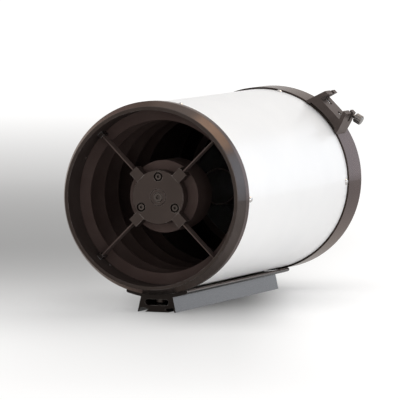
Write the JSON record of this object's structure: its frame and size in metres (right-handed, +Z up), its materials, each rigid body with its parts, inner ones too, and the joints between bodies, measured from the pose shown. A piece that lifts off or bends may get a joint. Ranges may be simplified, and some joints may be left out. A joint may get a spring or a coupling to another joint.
{
  "type": "reflector telescope",
  "caption": "Open-front two-mirror telescope tube with a vaned secondary, a dovetail bar to stand or clamp it on, a finder shoe and a two-speed roller focuser.",
  "frame": {"origin": "middle of the flat underside of the dovetail bar, on which the telescope stands", "axes": "+X right as seen from the sky end, +Y along the optical axis from the sky end to the eyepiece end, +Z up"},
  "size_m": [0.2174, 0.4968, 0.2288],
  "materials": {
    "white_tube": "gloss white enamel on steel",
    "ring_black": "satin black anodised",
    "flat_black": "matt black, non-reflecting",
    "vane_black": "matt black paint on steel",
    "hub_black": "semi-matt black powder coat",
    "bar_anodised": "black anodised extrusion",
    "bright_screws": "polished",
    "black_screws": "black oxide",
    "steel_parts": "turned",
    "chrome_parts": "polished",
    "fine_metal": "clear anodised",
    "brass_ring": "turned",
    "foam": "closed-cell foam",
    "mirror_glass": "aluminised glass"
  },
  "bodies": {
    "tube_assembly": {"tube": "white_tube", "front_ring": "ring_black", "rear_ring": "ring_black", "spider_hub": "hub_black", "spider_vane_1": "vane_black", "spider_vane_2": "vane_black", "spider_vane_3": "vane_black", "spider_vane_4": "vane_black", "tube_baffle_1": "flat_black", "tube_baffle_2": "flat_black", "tube_baffle_3": "flat_black", "tube_baffle_4": "flat_black", "tube_baffle_5": "flat_black", "front_screws": "bright_screws", "rear_screws": "bright_screws", "dovetail_bar": "bar_anodised", "dovetail_bolts": "steel_parts", "finder_shoe": "hub_black", "finder_bolts": "steel_parts"},
    "ball_washer": {"ball_washer": "steel_parts"},
    "secondary": {"centre_bolt": "black_screws", "secondary_cell": "flat_black", "secondary_mirror": "mirror_glass", "secondary_retainer": "flat_black"},
    "cell_seal": {"cell_seal": "foam"},
    "primary": {"primary_cell": "flat_black", "primary_mirror": "mirror_glass", "primary_retainer": "flat_black", "baffle_tube": "flat_black", "focuser_adapter": "ring_black", "focuser_body": "hub_black", "shaft_saddle": "steel_parts", "saddle_cover": "hub_black", "cover_screws": "steel_parts"},
    "focus_drive": {"focus_shaft": "steel_parts", "coarse_knob_left": "ring_black", "coarse_knob_right": "ring_black"},
    "fine_knob": {"fine_knob": "fine_metal"},
    "drawtube": {"drawtube": "chrome_parts", "eyepiece_collar": "ring_black", "clamp_ring": "brass_ring"},
    "tension_screw": {"tension_screw": "chrome_parts"},
    "lock_screw": {"lock_screw": "chrome_parts"},
    "tilt_screw_1": {"tilt_screw_1": "black_screws"},
    "tilt_screw_2": {"tilt_screw_2": "black_screws"},
    "tilt_screw_3": {"tilt_screw_3": "black_screws"},
    "pull_screw_1": {"pull_screw_1": "bright_screws"},
    "push_screw_1": {"push_screw_1": "steel_parts"},
    "pull_screw_2": {"pull_screw_2": "bright_screws"},
    "push_screw_2": {"push_screw_2": "steel_parts"},
    "pull_screw_3": {"pull_screw_3": "bright_screws"},
    "push_screw_3": {"push_screw_3": "steel_parts"},
    "finder_screw": {"finder_thumbscrew": "bright_screws"},
    "roller_1": {"roller_1": "steel_parts"},
    "roller_2": {"roller_2": "steel_parts"},
    "roller_3": {"roller_3": "steel_parts"},
    "roller_4": {"roller_4": "steel_parts"},
    "collar_screw_1": {"collar_screw_1": "chrome_parts"},
    "collar_screw_2": {"collar_screw_2": "chrome_parts"}
  },
  "joints": [
    {"name": "secondary_tip", "type": "hinge", "parent": "tube_assembly", "child": "ball_washer", "pos_m": [0, -0.1722, 0.1241], "axis": [1, 0, 0], "range_deg": [-0.5, 0.5]},
    {"name": "secondary_turn", "type": "hinge", "parent": "ball_washer", "child": "secondary", "pos_m": [0, -0.1722, 0.1241], "axis": [0, 0, 1], "range_deg": [-0.5, 0.5]},
    {"name": "primary_tip", "type": "hinge", "parent": "tube_assembly", "child": "cell_seal", "pos_m": [0, 0.203, 0.1241], "axis": [1, 0, 0], "range_deg": [-0.2, 0.2]},
    {"name": "primary_turn", "type": "hinge", "parent": "cell_seal", "child": "primary", "pos_m": [0, 0.203, 0.1241], "axis": [0, 0, 1], "range_deg": [-0.2, 0.2]},
    {"name": "tilt_screw_1_turn", "type": "hinge", "parent": "tube_assembly", "child": "tilt_screw_1", "pos_m": [0, -0.171, 0.1464], "axis": [0, -1, 0], "range_deg": [-360, 360]},
    {"name": "tilt_screw_2_turn", "type": "hinge", "parent": "tube_assembly", "child": "tilt_screw_2", "pos_m": [-0.01931, -0.171, 0.11295], "axis": [0, -1, 0], "range_deg": [-360, 360]},
    {"name": "tilt_screw_3_turn", "type": "hinge", "parent": "tube_assembly", "child": "tilt_screw_3", "pos_m": [0.01931, -0.171, 0.11295], "axis": [0, -1, 0], "range_deg": [-360, 360]},
    {"name": "pull_screw_1_turn", "type": "hinge", "parent": "tube_assembly", "child": "pull_screw_1", "pos_m": [0, 0.216, 0.1941], "axis": [0, 1, 0], "range_deg": [-360, 360]},
    {"name": "push_screw_1_turn", "type": "hinge", "parent": "tube_assembly", "child": "push_screw_1", "pos_m": [-0.01812, 0.216, 0.19171], "axis": [0, 1, 0], "range_deg": [-360, 360]},
    {"name": "pull_screw_2_turn", "type": "hinge", "parent": "tube_assembly", "child": "pull_screw_2", "pos_m": [-0.06062, 0.216, 0.0891], "axis": [0, 1, 0], "range_deg": [-360, 360]},
    {"name": "push_screw_2_turn", "type": "hinge", "parent": "tube_assembly", "child": "push_screw_2", "pos_m": [-0.0495, 0.216, 0.0746], "axis": [0, 1, 0], "range_deg": [-360, 360]},
    {"name": "pull_screw_3_turn", "type": "hinge", "parent": "tube_assembly", "child": "pull_screw_3", "pos_m": [0.06062, 0.216, 0.0891], "axis": [0, 1, 0], "range_deg": [-360, 360]},
    {"name": "push_screw_3_turn", "type": "hinge", "parent": "tube_assembly", "child": "push_screw_3", "pos_m": [0.06761, 0.216, 0.10598], "axis": [0, 1, 0], "range_deg": [-360, 360]},
    {"name": "finder_screw_turn", "type": "hinge", "parent": "tube_assembly", "child": "finder_screw", "pos_m": [0.09606, 0.19675, 0.19937], "axis": [0.8779, 0, -0.4789], "range_deg": [-1080, 360]},
    {"name": "coarse_focus", "type": "hinge", "parent": "primary", "child": "focus_drive", "pos_m": [0, 0.2515, 0.09342], "axis": [-1, 0, 0], "range_deg": [0, 760]},
    {"name": "fine_focus", "type": "hinge", "parent": "primary", "child": "fine_knob", "pos_m": [0.05488, 0.2515, 0.09342], "axis": [-1, 0, 0], "range_deg": [0, 7600]},
    {"name": "drawtube_slide", "type": "slide", "parent": "primary", "child": "drawtube", "axis": [0, 1, 0], "range_m": [0, 0.04]},
    {"name": "roller_1_turn", "type": "hinge", "parent": "primary", "child": "roller_1", "pos_m": [0.01654, 0.2395, 0.15275], "axis": [0.866, 0, -0.5], "range_deg": [0, 570]},
    {"name": "roller_2_turn", "type": "hinge", "parent": "primary", "child": "roller_2", "pos_m": [-0.01654, 0.2395, 0.15275], "axis": [0.866, 0, 0.5], "range_deg": [0, 570]},
    {"name": "roller_3_turn", "type": "hinge", "parent": "primary", "child": "roller_3", "pos_m": [0.01654, 0.2635, 0.15275], "axis": [0.866, 0, -0.5], "range_deg": [0, 570]},
    {"name": "roller_4_turn", "type": "hinge", "parent": "primary", "child": "roller_4", "pos_m": [-0.01654, 0.2635, 0.15275], "axis": [0.866, 0, 0.5], "range_deg": [0, 570]},
    {"name": "tension_screw_turn", "type": "hinge", "parent": "primary", "child": "tension_screw", "pos_m": [0, 0.2515, 0.0801], "axis": [0, 0, -1], "range_deg": [-720, 135]},
    {"name": "lock_screw_turn", "type": "hinge", "parent": "primary", "child": "lock_screw", "pos_m": [0, 0.2515, 0.16308], "axis": [0, 0, 1], "range_deg": [-720, 135]},
    {"name": "collar_screw_1_turn", "type": "hinge", "parent": "drawtube", "child": "collar_screw_1", "pos_m": [0.02566, 0.2943, 0.14563], "axis": [0.766, 0, 0.6428], "range_deg": [-720, 180]},
    {"name": "collar_screw_2_turn", "type": "hinge", "parent": "drawtube", "child": "collar_screw_2", "pos_m": [-0.02566, 0.2943, 0.14563], "axis": [-0.766, 0, 0.6428], "range_deg": [-720, 180]}
  ],
  "couplings": [
    {"joint": "drawtube_slide", "follows": "coarse_focus", "m_per_rad": 0.003},
    {"joint": "fine_focus", "follows": "coarse_focus", "ratio": 10},
    {"joint": "roller_1_turn", "follows": "coarse_focus", "ratio": 0.75},
    {"joint": "roller_2_turn", "follows": "coarse_focus", "ratio": 0.75},
    {"joint": "roller_3_turn", "follows": "coarse_focus", "ratio": 0.75},
    {"joint": "roller_4_turn", "follows": "coarse_focus", "ratio": 0.75}
  ]
}
